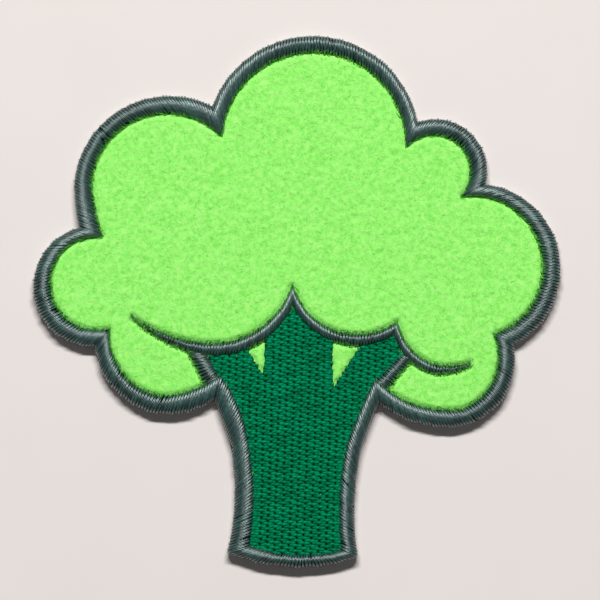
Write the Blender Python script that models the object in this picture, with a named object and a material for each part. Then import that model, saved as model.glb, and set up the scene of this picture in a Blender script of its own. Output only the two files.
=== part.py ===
"""An embroidered felt patch in the shape of a head of broccoli.

The patch lies face up: +Z comes out of its face, +Y runs from the foot of the stem to the crown.
The origin is at the centre of its base, on the surface that it rests on.
From the back it is built of a heat-seal film, a stabiliser sheet, a felt ground, a filled stem,
and raised satin-stitch columns: ten round the edge, three across the head and two at the branches.
Each column has its band of bobbin thread on the back of the stabiliser.
Outlines are written in millimetres and are scaled to metres as the meshes are made.
"""

import cmath
import math

import bmesh
import bpy
from mathutils import Vector

MM = 0.001
OBJECT_NAME = "embroidered_felt_patch"

# Heights of the layers, in millimetres. Touching layers keep LAYER_GAP between them.
LAYER_GAP = 0.05
FILM_THICKNESS = 0.10
BOBBIN_THICKNESS = 0.15
STABILISER_THICKNESS = 0.30
FELT_THICKNESS = 0.90
FILL_THICKNESS = 0.35
COLUMN_RISE = 0.85  # crown of a satin column over the felt

FILM_BASE = 0.0
BOBBIN_BASE = FILM_BASE + FILM_THICKNESS + LAYER_GAP
STABILISER_BASE = BOBBIN_BASE + BOBBIN_THICKNESS + LAYER_GAP
FELT_BASE = STABILISER_BASE + STABILISER_THICKNESS + LAYER_GAP
FILL_BASE = FELT_BASE + FELT_THICKNESS + LAYER_GAP
COLUMN_FOOT = FELT_BASE  # the edge columns wrap the felt and stand on the stabiliser
COLUMN_TOE = FILL_BASE

# How far each sheet reaches across the edge columns: 0 is their inner side, 1 their outer side.
FELT_REACH = 0.70
FILM_REACH = 0.92
STABILISER_REACH = 1.0
BOBBIN_BAND = (0.33, 0.67)

MITRE_GAP = 0.05  # taken off each end of a column, along its sides
FILL_GAP = 0.15  # between the stem fill and the columns round it
COLUMN_STEP = 2.0  # longest step between the sections of an edge column
LINE_STEP = 1.5
BOBBIN_STEP = 3.0
LINE_FULL_WIDTH = 1.7  # a line narrower than this is lower in proportion

# The edge's ten corners, clockwise from where the stem leaves the head on the left:
# a point on the columns' inner side, and the notch or tip outside it.
CORNERS = (
    ((-11.0, -10.7), (-11.9, -14.2)),
    ((-27.25, -3.95), (-29.3, -6.6)),
    ((-28.3, 9.4), (-31.6, 10.8)),
    ((-10.85, 24.1), (-12.2, 28.5)),
    ((16.1, 22.5), (17.8, 26.2)),
    ((24.2, 15.3), (27.7, 17.1)),
    ((29.0, -4.8), (31.8, -6.2)),
    ((11.6, -11.2), (12.1, -14.8)),
    ((6.6, -36.3), (9.0, -37.3)),
    ((-6.65, -35.7), (-10.0, -36.7)),
)

# What each edge column passes through on its inner and outer sides, between its two corners.
# One point gives one arc. Three give two arcs that meet at the middle point.
EDGE_COLUMNS = (
    ("lower_left_floret", ((-14.7, -12.8), (-19.4, -13.9), (-25.3, -10.5)), ((-22.65, -15.6),)),
    ("left_floret", ((-35.9, 1.8),), ((-38.35, 1.6),)),
    (
        "upper_left_floret",
        ((-29.3, 12.8), (-29.95, 17.2), (-23.8, 26.3)),
        ((-32.2, 13.9), (-32.4, 17.2), (-24.85, 28.5)),
    ),
    ("crown_floret", ((3.1, 36.4),), ((3.2, 38.8),)),
    ("upper_right_floret", ((23.9, 22.9),), ((25.5, 24.7),)),
    ("right_floret", ((35.85, 7.7),), ((38.2, 8.3),)),
    (
        "lower_right_floret",
        ((29.4, -10.2), (24.4, -15.7), (18.0, -15.3)),
        ((31.7, -11.0), (25.2, -18.0), (17.5, -17.65)),
    ),
    (
        "stem_right",
        ((8.95, -16.9), (7.2, -21.5), (6.35, -28.35)),
        ((10.55, -18.5), (9.45, -21.9), (8.6, -28.35)),
    ),
    ("stem_foot", ((0.0, -37.05),), ((-0.45, -38.8),)),
    (
        "stem_left",
        ((-6.1, -27.6), (-7.0, -19.85), (-8.7, -14.4)),
        ((-8.9, -27.6), (-9.5, -21.3), (-10.7, -17.4)),
    ),
)

# The lines across the face: the points of their upper side, then of their lower side.
FACE_LINES = (
    (
        "floret_line_left",
        ((-24.0, -2.1), (-20.4, -4.2), (-13.9, -6.0), (-6.6, -4.75), (-0.55, 2.2)),
        ((-23.9, -2.55), (-19.6, -5.65), (-13.9, -7.8), (-6.9, -6.95), (-0.55, -0.8)),
    ),
    (
        "floret_line_middle",
        ((-0.4, 2.2), (2.9, -2.7), (8.05, -4.75), (11.7, -4.45), (14.6, -3.1)),
        ((-0.4, -0.8), (3.2, -4.75), (7.6, -6.35), (11.4, -6.2), (14.1, -5.05)),
    ),
    (
        "floret_line_right",
        ((14.85, -2.9), (16.7, -6.8), (19.8, -9.1), (22.6, -9.45), (25.5, -8.9)),
        ((14.35, -5.15), (16.7, -8.7), (19.8, -10.5), (22.4, -10.55), (25.5, -9.45)),
    ),
    (
        "branch_line_left",
        ((-15.4, -8.1), (-14.6, -9.7), (-13.6, -11.8)),
        ((-12.6, -8.15), (-12.1, -9.2), (-11.45, -10.45)),
    ),
    (
        "branch_line_right",
        ((16.5, -9.15), (15.3, -10.5), (13.9, -12.35)),
        ((14.75, -8.3), (13.6, -9.6), (12.15, -11.0)),
    ),
)

# The two openings in the stem fill, where the felt shows between the branches:
# the span of X that each takes from the lines above it, and its lower tip.
FILL_OPENINGS = (
    ((-6.9, -4.6), (-4.9, -10.2)),
    ((5.6, 9.2), (5.6, -12.1)),
)

# Sections of the columns: (share of the width from the inner side, share of the rise).
EDGE_CROWN = ((0.05, 0.40), (0.18, 0.75), (0.36, 0.95), (0.55, 1.0), (0.75, 0.85), (0.91, 0.45))
EDGE_WRAP = ((1.0, -0.25), (0.97, None), (0.86, -0.30), (0.80, 0.01))
LINE_CROWN = ((0.07, 0.40), (0.26, 0.85), (0.50, 1.0), (0.74, 0.85), (0.93, 0.45))
LINE_LOWER_TOE = (1.0, 0.06)

FELT_GREEN = (0.30, 0.89, 0.15, 1.0)
STEM_GREEN = (0.0, 0.22, 0.08, 1.0)
EDGE_SLATE = (0.10, 0.19, 0.16, 1.0)
BOBBIN_WHITE = (0.80, 0.80, 0.77, 1.0)
STABILISER_WHITE = (0.72, 0.72, 0.70, 1.0)
FILM_CLEAR = (0.80, 0.82, 0.80, 1.0)


def clear_scene():
    """Remove every object and collection that the file starts with."""
    for obj in list(bpy.data.objects):
        bpy.data.objects.remove(obj)
    for collection in list(bpy.data.collections):
        bpy.data.collections.remove(collection)


def principled(name, colour, roughness, sheen=0.0):
    """A Principled material. Sheen is the soft bloom of cloth and thread."""
    material = bpy.data.materials.new(name)
    material.use_nodes = True
    material.diffuse_color = colour
    shader = material.node_tree.nodes["Principled BSDF"]
    shader.inputs["Base Color"].default_value = colour
    shader.inputs["Roughness"].default_value = roughness
    shader.inputs["Metallic"].default_value = 0.0
    shader.inputs["Sheen Weight"].default_value = sheen
    return material


def arc_through(start, middle, end):
    """The circular arc through three points, as its centre, first spoke and signed turn."""
    ratio = (end - start) / (middle - start)
    centre = start - (middle - start) * (ratio - abs(ratio) ** 2) / (-2j * ratio.imag)
    spoke = start - centre
    turn = cmath.phase((middle - centre) / spoke) + cmath.phase((end - centre) / (middle - centre))
    return centre, spoke, turn


def arc_chain(points):
    """The arcs through points 0 to 2, 2 to 4 and so on. Points of a plane are complex numbers."""
    flat = [complex(*point) for point in points]
    return [arc_through(*flat[i : i + 3]) for i in range(0, len(flat) - 2, 2)]


def chain_length(arcs):
    return sum(abs(turn) * abs(spoke) for _, spoke, turn in arcs)


def walk(arcs, distance):
    """The point at a distance along a chain of arcs."""
    for centre, spoke, turn in arcs:
        length = abs(turn) * abs(spoke)
        if distance <= length or (centre, spoke, turn) == arcs[-1]:
            return centre + spoke * cmath.exp(1j * turn * distance / length)
        distance -= length


def rail(points, steps, trim):
    """Evenly spaced points along a chain of arcs, starting and ending a trim short of its ends."""
    arcs = arc_chain(points)
    length = chain_length(arcs)
    span = length - 2 * trim
    return [walk(arcs, trim + span * i / steps) for i in range(steps + 1)]


def step_count(points, longest_step):
    return max(2, math.ceil(chain_length(arc_chain(points)) / longest_step))


def edge_outlines():
    """Each edge column's name, and the points that its inner and outer sides pass through."""
    found = []
    for i, (name, inner_between, outer_between) in enumerate(EDGE_COLUMNS):
        inner_start, outer_start = CORNERS[i]
        inner_end, outer_end = CORNERS[(i + 1) % len(CORNERS)]
        found.append(
            (
                name,
                (inner_start, *inner_between, inner_end),
                (outer_start, *outer_between, outer_end),
            )
        )
    return found


def across(inner, outer, share):
    return [a + (b - a) * share for a, b in zip(inner, outer)]


def edge_loop(share):
    """The closed outline at a share of the way across the edge columns."""
    loop = []
    for _, inner, outer in edge_outlines():
        steps = step_count(outer, COLUMN_STEP)
        loop += across(rail(inner, steps, 0.0), rail(outer, steps, 0.0), share)[:-1]
    return loop


def column_sections(inner, outer, section):
    """The sections along a column, each a list of (x, y, z), from its two rails and its shape."""
    sections = []
    for start, end in zip(inner, outer):
        flat = [(start + (end - start) * share, height) for share, height in section]
        sections.append([(point.real, point.imag, height) for point, height in flat])
    return sections


def edge_section():
    """An edge column's section: a round crown on the felt, and a side that wraps to the stabiliser."""
    shape = [(0.0, COLUMN_TOE)]
    shape += [(share, COLUMN_TOE + rise * COLUMN_RISE) for share, rise in EDGE_CROWN]
    for share, rise in EDGE_WRAP:
        shape.append((share, COLUMN_FOOT if rise is None else COLUMN_TOE + rise * COLUMN_RISE))
    return shape


def line_sections(upper, lower):
    """A face line's sections: a round crown that gets lower where the line tapers to its tip."""
    sections = []
    for start, end in zip(upper, lower):
        rise = COLUMN_RISE * min(1.0, abs(end - start) / LINE_FULL_WIDTH)
        shape = [(0.0, COLUMN_TOE)]
        shape += [(share, COLUMN_TOE + part * rise) for share, part in LINE_CROWN]
        shape.append((LINE_LOWER_TOE[0], COLUMN_TOE + LINE_LOWER_TOE[1] * COLUMN_RISE))
        sections += column_sections([start], [end], shape)
    return sections


def band_section():
    """The flat section of a bobbin band."""
    low, high = BOBBIN_BAND
    top = BOBBIN_BASE + BOBBIN_THICKNESS
    return [(low, BOBBIN_BASE), (low, top), (high, top), (high, BOBBIN_BASE)]


def add_object(name, data, collection, material):
    obj = bpy.data.objects.new(name, data)
    data.materials.append(material)
    collection.objects.link(obj)
    return obj


def loft(name, sections, collection, material):
    """One closed body through matching sections, with a face across each end."""
    shape = bmesh.new()
    rings = [[shape.verts.new([value * MM for value in point]) for point in ring] for ring in sections]
    for ring in rings:
        for a, b in zip(ring, ring[1:] + ring[:1]):
            shape.edges.new((a, b))
    for near, far in zip(rings, rings[1:]):
        for i in range(len(near)):
            j = (i + 1) % len(near)
            shape.faces.new((near[i], near[j], far[j], far[i]))
    for ring in (rings[0], rings[-1]):
        shape.faces.new(ring)
    bmesh.ops.recalc_face_normals(shape, faces=shape.faces)
    mesh = bpy.data.meshes.new(name)
    shape.to_mesh(mesh)
    shape.free()
    return add_object(name, mesh, collection, material)


def flat_sheet(name, loop, base, thickness, collection, material):
    """A flat sheet: a filled outline with its base at a height, all in millimetres."""
    curve = bpy.data.curves.new(name, "CURVE")
    curve.dimensions = "2D"
    curve.fill_mode = "BOTH"
    curve.extrude = thickness / 2 * MM
    spline = curve.splines.new("POLY")
    spline.points.add(len(loop) - 1)
    for point, place in zip(spline.points, loop):
        point.co = (place.real * MM, place.imag * MM, 0.0, 1.0)
    spline.use_cyclic_u = True
    obj = add_object(name, curve, collection, material)
    obj.location.z = (base + thickness / 2) * MM
    return obj


def moved_in(loop, distance):
    """A clockwise outline with each corner moved inwards, square to its two sides."""
    moved = []
    for before, point, after in zip(loop[-1:] + loop[:-1], loop, loop[1:] + loop[:1]):
        along_in = (point - before) / abs(point - before)
        along_out = (after - point) / abs(after - point)
        bisector = along_in + along_out
        bisector /= abs(bisector)
        spread = max(0.4, (bisector / along_in).real)
        moved.append(point - 1j * bisector * distance / spread)
    return moved


def at_x(points, x):
    """Where a line of points that runs left to right reaches an X."""
    for near, far in zip(points, points[1:]):
        if near.real <= x <= far.real:
            return near + (far - near) * (x - near.real) / (far.real - near.real)


def fill_top():
    """The stem fill's upper boundary from left to right, under the lines, with its two openings."""
    lines = {name: lower for name, _, lower in FACE_LINES}
    top = []
    for name in ("floret_line_left", "floret_line_middle", "floret_line_right"):
        lower = rail(lines[name], step_count(lines[name], LINE_STEP), 0.0)
        top += lower[1:] if top else lower
    left_limit = lines["branch_line_left"][0][0]
    right_limit = lines["branch_line_right"][0][1]
    top = [point for point in top if point.real > left_limit and point.imag > right_limit]
    for (low, high), tip in FILL_OPENINGS:
        before = [point for point in top if point.real < low]
        after = [point for point in top if point.real > high]
        top = before + [at_x(top, low), complex(*tip), at_x(top, high)] + after
    return top


def fill_outline():
    """The stem fill's outline, clockwise from its top left, on the sides of its columns."""
    rails = {name: inner for name, inner, _ in edge_outlines()}
    lines = {name: lower for name, _, lower in FACE_LINES}
    outline = fill_top()
    outline += rail(lines["branch_line_right"], 2, 0.0)
    for name in ("stem_right", "stem_foot", "stem_left"):
        outline += rail(rails[name], step_count(rails[name], LINE_STEP), 0.0)[:-1]
    outline.append(complex(*CORNERS[0][0]))
    outline += rail(lines["branch_line_left"], 2, 0.0)[::-1]
    return moved_in(outline, FILL_GAP)


def build_sheets(collection):
    """The four sheets that lie flat in the patch."""
    felt = principled("felt", FELT_GREEN, 0.95, sheen=0.3)
    stem_thread = principled("stem_thread", STEM_GREEN, 0.5, sheen=0.1)
    bobbin_thread = principled("bobbin_thread", BOBBIN_WHITE, 0.7)
    stabiliser = principled("stabiliser", STABILISER_WHITE, 0.9)
    film = principled("heat_seal_film", FILM_CLEAR, 0.25)
    fill = fill_outline()
    flat_sheet("heat_seal_film", edge_loop(FILM_REACH), FILM_BASE, FILM_THICKNESS, collection, film)
    flat_sheet("bobbin_stem_fill", fill, BOBBIN_BASE, BOBBIN_THICKNESS, collection, bobbin_thread)
    flat_sheet(
        "backing_stabiliser", edge_loop(STABILISER_REACH), STABILISER_BASE, STABILISER_THICKNESS,
        collection, stabiliser,
    )
    flat_sheet("felt_ground", edge_loop(FELT_REACH), FELT_BASE, FELT_THICKNESS, collection, felt)
    flat_sheet("stem_fill", fill, FILL_BASE, FILL_THICKNESS, collection, stem_thread)
    return bobbin_thread


def build_columns(collection, bobbin_thread):
    """The raised satin columns, and under each the band of bobbin thread that holds it."""
    slate = principled("edge_thread", EDGE_SLATE, 0.45, sheen=0.1)
    runs = [(f"edge_{name}", name, inner, outer, COLUMN_STEP) for name, inner, outer in edge_outlines()]
    runs += [(name, name, upper, lower, LINE_STEP) for name, upper, lower in FACE_LINES]
    for name, place, inner, outer, step in runs:
        steps = step_count(outer, step)
        rails = rail(inner, steps, MITRE_GAP), rail(outer, steps, MITRE_GAP)
        on_edge = step == COLUMN_STEP
        sections = column_sections(*rails, edge_section()) if on_edge else line_sections(*rails)
        loft(name, sections, collection, slate)
        band_steps = step_count(outer, BOBBIN_STEP)
        band_rails = rail(inner, band_steps, MITRE_GAP), rail(outer, band_steps, MITRE_GAP)
        bands = column_sections(*band_rails, band_section())
        loft(f"bobbin_{place}", bands, collection, bobbin_thread)


def centre_on_base():
    """Move everything so that the origin is at the centre of the patch's base."""
    bpy.context.view_layer.update()
    corners = []
    for obj in bpy.data.objects:
        corners += [obj.matrix_world @ Vector(corner) for corner in obj.bound_box]
    middle_x = (min(c.x for c in corners) + max(c.x for c in corners)) / 2
    middle_y = (min(c.y for c in corners) + max(c.y for c in corners)) / 2
    for obj in bpy.data.objects:
        obj.location.x -= middle_x
        obj.location.y -= middle_y


def main():
    clear_scene()
    collection = bpy.data.collections.new(OBJECT_NAME)
    bpy.context.scene.collection.children.link(collection)
    bobbin_thread = build_sheets(collection)
    build_columns(collection, bobbin_thread)
    centre_on_base()


main()
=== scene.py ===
"""An embroidered felt patch in the shape of a head of broccoli, dressed in thread, felt and film.

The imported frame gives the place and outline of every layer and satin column. Over it this script
lays the real passes of thread, the felt with its nap, the stabiliser, the bobbin work of the
underside and the heat-seal film. Lengths are in metres. +Z comes out of the patch's face.
"""

import logging
import math
from dataclasses import dataclass, field
from enum import Enum

import bmesh
import bpy
import numpy as np
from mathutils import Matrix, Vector, kdtree, noise


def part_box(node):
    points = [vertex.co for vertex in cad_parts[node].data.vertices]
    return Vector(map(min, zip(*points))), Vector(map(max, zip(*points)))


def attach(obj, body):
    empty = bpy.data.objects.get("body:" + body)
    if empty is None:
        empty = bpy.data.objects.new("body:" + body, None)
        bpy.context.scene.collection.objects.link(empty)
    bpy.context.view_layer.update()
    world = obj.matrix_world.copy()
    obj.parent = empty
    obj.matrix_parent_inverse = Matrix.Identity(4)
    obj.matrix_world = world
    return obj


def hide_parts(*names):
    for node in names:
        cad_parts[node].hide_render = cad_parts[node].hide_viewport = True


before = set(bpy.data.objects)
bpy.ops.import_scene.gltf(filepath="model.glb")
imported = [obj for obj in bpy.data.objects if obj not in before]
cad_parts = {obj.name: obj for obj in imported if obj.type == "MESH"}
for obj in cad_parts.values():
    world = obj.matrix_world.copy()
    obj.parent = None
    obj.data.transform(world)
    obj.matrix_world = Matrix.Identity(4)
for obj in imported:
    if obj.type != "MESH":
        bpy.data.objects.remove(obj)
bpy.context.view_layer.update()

MM = 0.001
WELD = 1e-6
FLAT_TURN = 0.002
BODY = "root"
SEED = 7

Points = np.ndarray
log = logging.getLogger("patch")


# ---------------------------------------------------------------- outlines from the frame


def welded(node: str) -> bmesh.types.BMesh:
    """A copy of a CAD node's mesh with its loose triangles joined.

    Args:
        node: the CAD node's name.

    Returns:
        The joined mesh.
    """
    shape = bmesh.new()
    shape.from_mesh(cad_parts[node].data)
    bmesh.ops.remove_doubles(shape, verts=shape.verts, dist=WELD)
    return shape


def sheet_outline(node: str) -> Points:
    """The outline of a flat CAD sheet from above, anticlockwise.

    Args:
        node: the sheet's node.

    Returns:
        Its corners as rows of x, y.
    """
    shape = welded(node)
    bmesh.ops.dissolve_limit(shape, angle_limit=FLAT_TURN, verts=shape.verts, edges=shape.edges)
    top = max(shape.faces, key=lambda face: face.normal.z * face.calc_area())
    outline = np.array([vert.co[:2] for vert in top.verts])
    shape.free()
    return outline


def level_line(shape: bmesh.types.BMesh, height: float, slack: float) -> Points:
    """The line of edges that a mesh has at one height, from end to end.

    Args:
        shape: the mesh.
        height: the line's height.
        slack: how far a vertex may be from the height.

    Returns:
        The line's points as rows of x, y.
    """
    level = [vert for vert in shape.verts if abs(vert.co.z - height) < slack]
    beside = {
        vert: [edge.other_vert(vert) for edge in vert.link_edges if edge.other_vert(vert) in level]
        for vert in level
    }
    here = next(vert for vert in level if len(beside[vert]) == 1)
    line = [here]
    seen = {here}
    while here is not None:
        here = next((vert for vert in beside[here] if vert not in seen), None)
        if here is not None:
            seen.add(here)
            line.append(here)
    return np.array([vert.co[:2] for vert in line])


def smooth_line(points: Points, guide: Points, shares: Points) -> Points:
    """Points on the smooth curve through a line of points.

    Args:
        points: the points it passes through.
        guide: a line with as many points, whose lengths say how far along each of them is.
        shares: where to read it, from 0 at its start to 1 at its end.

    Returns:
        The curve's points, a row for each share.
    """
    steps = np.linalg.norm(np.diff(guide, axis=0), axis=1)
    reach = np.concatenate([[0.0], np.cumsum(steps)])
    slopes = np.gradient(points, reach, axis=0, edge_order=2)
    where = shares * reach[-1]
    i = np.clip(np.searchsorted(reach, where, side="right") - 1, 0, len(steps) - 1)
    t = ((where - reach[i]) / steps[i])[:, None]
    span = steps[i][:, None]
    near = (2 * t**3 - 3 * t**2 + 1) * points[i] + (t**3 - 2 * t**2 + t) * span * slopes[i]
    far = (3 * t**2 - 2 * t**3) * points[i + 1] + (t**3 - t**2) * span * slopes[i + 1]
    return near + far


def inside(points: Points, loop: Points) -> Points:
    """Which points are inside a closed outline.

    Args:
        points: rows of x, y.
        loop: the outline's corners.

    Returns:
        A truth value for each point.
    """
    x, y = points[:, 0], points[:, 1]
    found = np.zeros(len(points), bool)
    for (x0, y0), (x1, y1) in zip(loop, np.roll(loop, -1, axis=0)):
        if y0 == y1:
            continue
        crosses = (y0 > y) != (y1 > y)
        found ^= crosses & (x < (x1 - x0) * (y - y0) / (y1 - y0) + x0)
    return found


def crossings(loop: Points, level: float) -> Points:
    """Where a closed outline crosses a line of constant second coordinate.

    Args:
        loop: the outline's corners.
        level: the line's second coordinate.

    Returns:
        The first coordinates of the crossings, in order.
    """
    after = np.roll(loop, -1, axis=0)
    hit = (loop[:, 1] > level) != (after[:, 1] > level)
    share = (level - loop[hit, 1]) / (after[hit, 1] - loop[hit, 1])
    return np.sort(loop[hit, 0] + share * (after[hit, 0] - loop[hit, 0]))


def grown(loop: Points, distance: float) -> Points:
    """An anticlockwise outline moved outwards, square to its sides.

    Args:
        loop: the outline's corners.
        distance: how far out it moves.

    Returns:
        The new corners.
    """
    before = loop - np.roll(loop, 1, axis=0)
    after = np.roll(loop, -1, axis=0) - loop
    before /= np.linalg.norm(before, axis=1, keepdims=True)
    after /= np.linalg.norm(after, axis=1, keepdims=True)
    along = before + after
    along /= np.maximum(np.linalg.norm(along, axis=1, keepdims=True), 0.2)
    return loop + np.stack([along[:, 1], -along[:, 0]], axis=1) * distance


def stretched(points: Points, reach: float) -> Points:
    """A line of points carried straight on past both its ends.

    Args:
        points: the line's points.
        reach: how far it goes on.

    Returns:
        The longer line.
    """
    first, last = points[0] - points[1], points[-1] - points[-2]
    start = points[0] + first / np.linalg.norm(first) * reach
    end = points[-1] + last / np.linalg.norm(last) * reach
    return np.concatenate([[start], points, [end]])


# ---------------------------------------------------------------- shader groups


def new_group(name: str, inputs: dict[str, tuple[str, float | tuple]], outputs: dict[str, str]) -> bpy.types.NodeTree:
    """An empty shader group with its sockets.

    Args:
        name: the group's name.
        inputs: each input's socket type and first value.
        outputs: each output's socket type.

    Returns:
        The group.
    """
    group = bpy.data.node_groups.new(name, "ShaderNodeTree")
    for label, (kind, value) in inputs.items():
        socket = group.interface.new_socket(label, in_out="INPUT", socket_type=kind)
        if kind != "NodeSocketVector":
            socket.default_value = value
    for label, kind in outputs.items():
        group.interface.new_socket(label, in_out="OUTPUT", socket_type=kind)
    return group


class Graph:
    """Short calls that add and join nodes in one node tree."""

    def __init__(self, tree: bpy.types.NodeTree) -> None:
        """Start on a tree."""
        self.tree = tree

    def node(self, kind: str, **settings: object) -> bpy.types.Node:
        """Add a node of a kind and give it its settings."""
        made = self.tree.nodes.new(kind)
        for key, value in settings.items():
            setattr(made, key, value)
        return made

    def join(self, source: bpy.types.NodeSocket, target: bpy.types.NodeSocket) -> None:
        """Link an output to an input."""
        self.tree.links.new(source, target)

    def math(self, operation: str, a: object, b: object = 0.0, c: object = 0.0) -> bpy.types.NodeSocket:
        """A Math node on sockets or numbers, and its output."""
        made = self.node("ShaderNodeMath", operation=operation)
        for socket, value in zip(made.inputs, (a, b, c)):
            if isinstance(value, bpy.types.NodeSocket):
                self.join(value, socket)
            else:
                socket.default_value = value
        return made.outputs[0]

    def mix(self, share: object, first: object, second: object, blend: str = "MIX") -> bpy.types.NodeSocket:
        """A colour mix of sockets or colours, and its output."""
        made = self.node("ShaderNodeMix", data_type="RGBA", blend_type=blend)
        for socket, value in zip((made.inputs[0], made.inputs[6], made.inputs[7]), (share, first, second)):
            if isinstance(value, bpy.types.NodeSocket):
                self.join(value, socket)
            else:
                socket.default_value = value
        return made.outputs[2]

    def noise(self, place: bpy.types.NodeSocket, scale: float, detail: float = 2.0) -> bpy.types.NodeSocket:
        """A noise texture's value at a place. The scale is in cells for each metre."""
        made = self.node("ShaderNodeTexNoise")
        made.inputs["Scale"].default_value = scale
        made.inputs["Detail"].default_value = detail
        self.join(place, made.inputs["Vector"])
        return made.outputs["Fac"]


def ply_twist_group() -> bpy.types.NodeTree:
    """The plies of a twisted thread.

    Returns:
        A group that turns a strand's Ply attribute (cosine and sine round it, and the length
        along it) into the height of its plies and a painted shade for the grooves between them, with a faint painted
        highlight on the plies' crowns.
    """
    group = new_group(
        "ply_twist",
        {"Ply": ("NodeSocketVector", 0.0), "Turns": ("NodeSocketFloat", 900.0)},
        {"Height": "NodeSocketFloat", "Shade": "NodeSocketFloat"},
    )
    g = Graph(group)
    given = g.node("NodeGroupInput")
    split = g.node("ShaderNodeSeparateXYZ")
    g.join(given.outputs["Ply"], split.inputs[0])
    turn = g.math("MULTIPLY", given.outputs["Turns"], split.outputs[2])
    angle = g.math("MULTIPLY", turn, 2 * math.pi)
    left = g.math("MULTIPLY", g.math("SINE", angle), split.outputs[0])
    right = g.math("MULTIPLY", g.math("COSINE", angle), split.outputs[1])
    wave = g.math("ADD", left, right)
    height = g.math("MULTIPLY_ADD", wave, 0.5, 0.5)
    result = g.node("NodeGroupOutput")
    g.join(height, result.inputs["Height"])
    # The Shade output is painted shade in the grooves between the plies and a faint painted highlight on their crowns.
    g.join(g.math("MULTIPLY_ADD", wave, 0.26, 0.84), result.inputs["Shade"])
    return group


def fibre_mottle_group() -> bpy.types.NodeTree:
    """The clumps and stray fibres of a matted cloth.

    Returns:
        A group that gives, at a place, a fine fibre mask, a broader clump mask and a height.
    """
    group = new_group(
        "fibre_mottle",
        {
            "Place": ("NodeSocketVector", 0.0),
            "Fibre": ("NodeSocketFloat", 4000.0),
            "Clump": ("NodeSocketFloat", 1200.0),
        },
        {"Fine": "NodeSocketFloat", "Broad": "NodeSocketFloat", "Height": "NodeSocketFloat"},
    )
    g = Graph(group)
    given = g.node("NodeGroupInput")
    fine = g.node("ShaderNodeTexNoise")
    fine.inputs["Detail"].default_value = 3.0
    fine.inputs["Roughness"].default_value = 0.65
    g.join(given.outputs["Place"], fine.inputs["Vector"])
    g.join(given.outputs["Fibre"], fine.inputs["Scale"])
    broad = g.node("ShaderNodeTexNoise")
    broad.inputs["Detail"].default_value = 2.0
    g.join(given.outputs["Place"], broad.inputs["Vector"])
    g.join(given.outputs["Clump"], broad.inputs["Scale"])
    result = g.node("NodeGroupOutput")
    g.join(fine.outputs["Fac"], result.inputs["Fine"])
    g.join(broad.outputs["Fac"], result.inputs["Broad"])
    g.join(g.math("ADD", fine.outputs["Fac"], broad.outputs["Fac"]), result.inputs["Height"])
    return group


# ---------------------------------------------------------------- finishes


def principled(name: str, roughness: float, specular: float = 0.5) -> tuple[bpy.types.Material, Graph, bpy.types.Node]:
    """A new material with one Principled shader.

    Args:
        name: the material's name.
        roughness: the shader's roughness.
        specular: the shader's specular level.

    Returns:
        The material, its graph and its shader.
    """
    material = bpy.data.materials.new(name)
    material.use_nodes = True
    shader = material.node_tree.nodes["Principled BSDF"]
    shader.inputs["Roughness"].default_value = roughness
    shader.inputs["Specular IOR Level"].default_value = specular
    return material, Graph(material.node_tree), shader


@dataclass(frozen=True)
class ThreadFinish:
    """A twisted thread, whose strands differ a little in tone."""

    name: str
    dark: tuple[float, float, float]
    light: tuple[float, float, float]
    roughness: float = 0.4
    specular: float = 0.5
    sheen: float = 0.0
    twist: float = 1300.0
    ply_depth: float = 0.03 * MM
    tint: tuple[float, float, float] = (1.0, 1.0, 1.0)
    coat: float = 0.0

    def build(self, groups: "Groups") -> bpy.types.Material:
        """Make the material from the shared groups."""
        material, g, shader = principled(self.name, self.roughness, self.specular)
        shader.inputs["Sheen Weight"].default_value = self.sheen
        shader.inputs["Specular Tint"].default_value = (*self.tint, 1.0)
        shader.inputs["Coat Weight"].default_value = self.coat
        shader.inputs["Coat IOR"].default_value = 1.9
        shader.inputs["Coat Roughness"].default_value = self.roughness
        ply = g.node("ShaderNodeAttribute", attribute_name="ply")
        tone = g.node("ShaderNodeAttribute", attribute_name="tone")
        twist = g.node("ShaderNodeGroup", node_tree=groups.ply_twist)
        twist.inputs["Turns"].default_value = self.twist
        g.join(ply.outputs["Vector"], twist.inputs["Ply"])
        base = g.mix(tone.outputs["Fac"], (*self.dark, 1.0), (*self.light, 1.0))
        # Multiply in the painted shade of the ply grooves and the faint painted highlight of the plies.
        shaded = g.mix(1.0, base, twist.outputs["Shade"], "MULTIPLY")
        g.join(shaded, shader.inputs["Base Color"])
        bump = g.node("ShaderNodeBump")
        bump.inputs["Distance"].default_value = self.ply_depth
        bump.inputs["Strength"].default_value = 0.9
        g.join(twist.outputs["Height"], bump.inputs["Height"])
        g.join(bump.outputs["Normal"], shader.inputs["Normal"])
        return material


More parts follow.
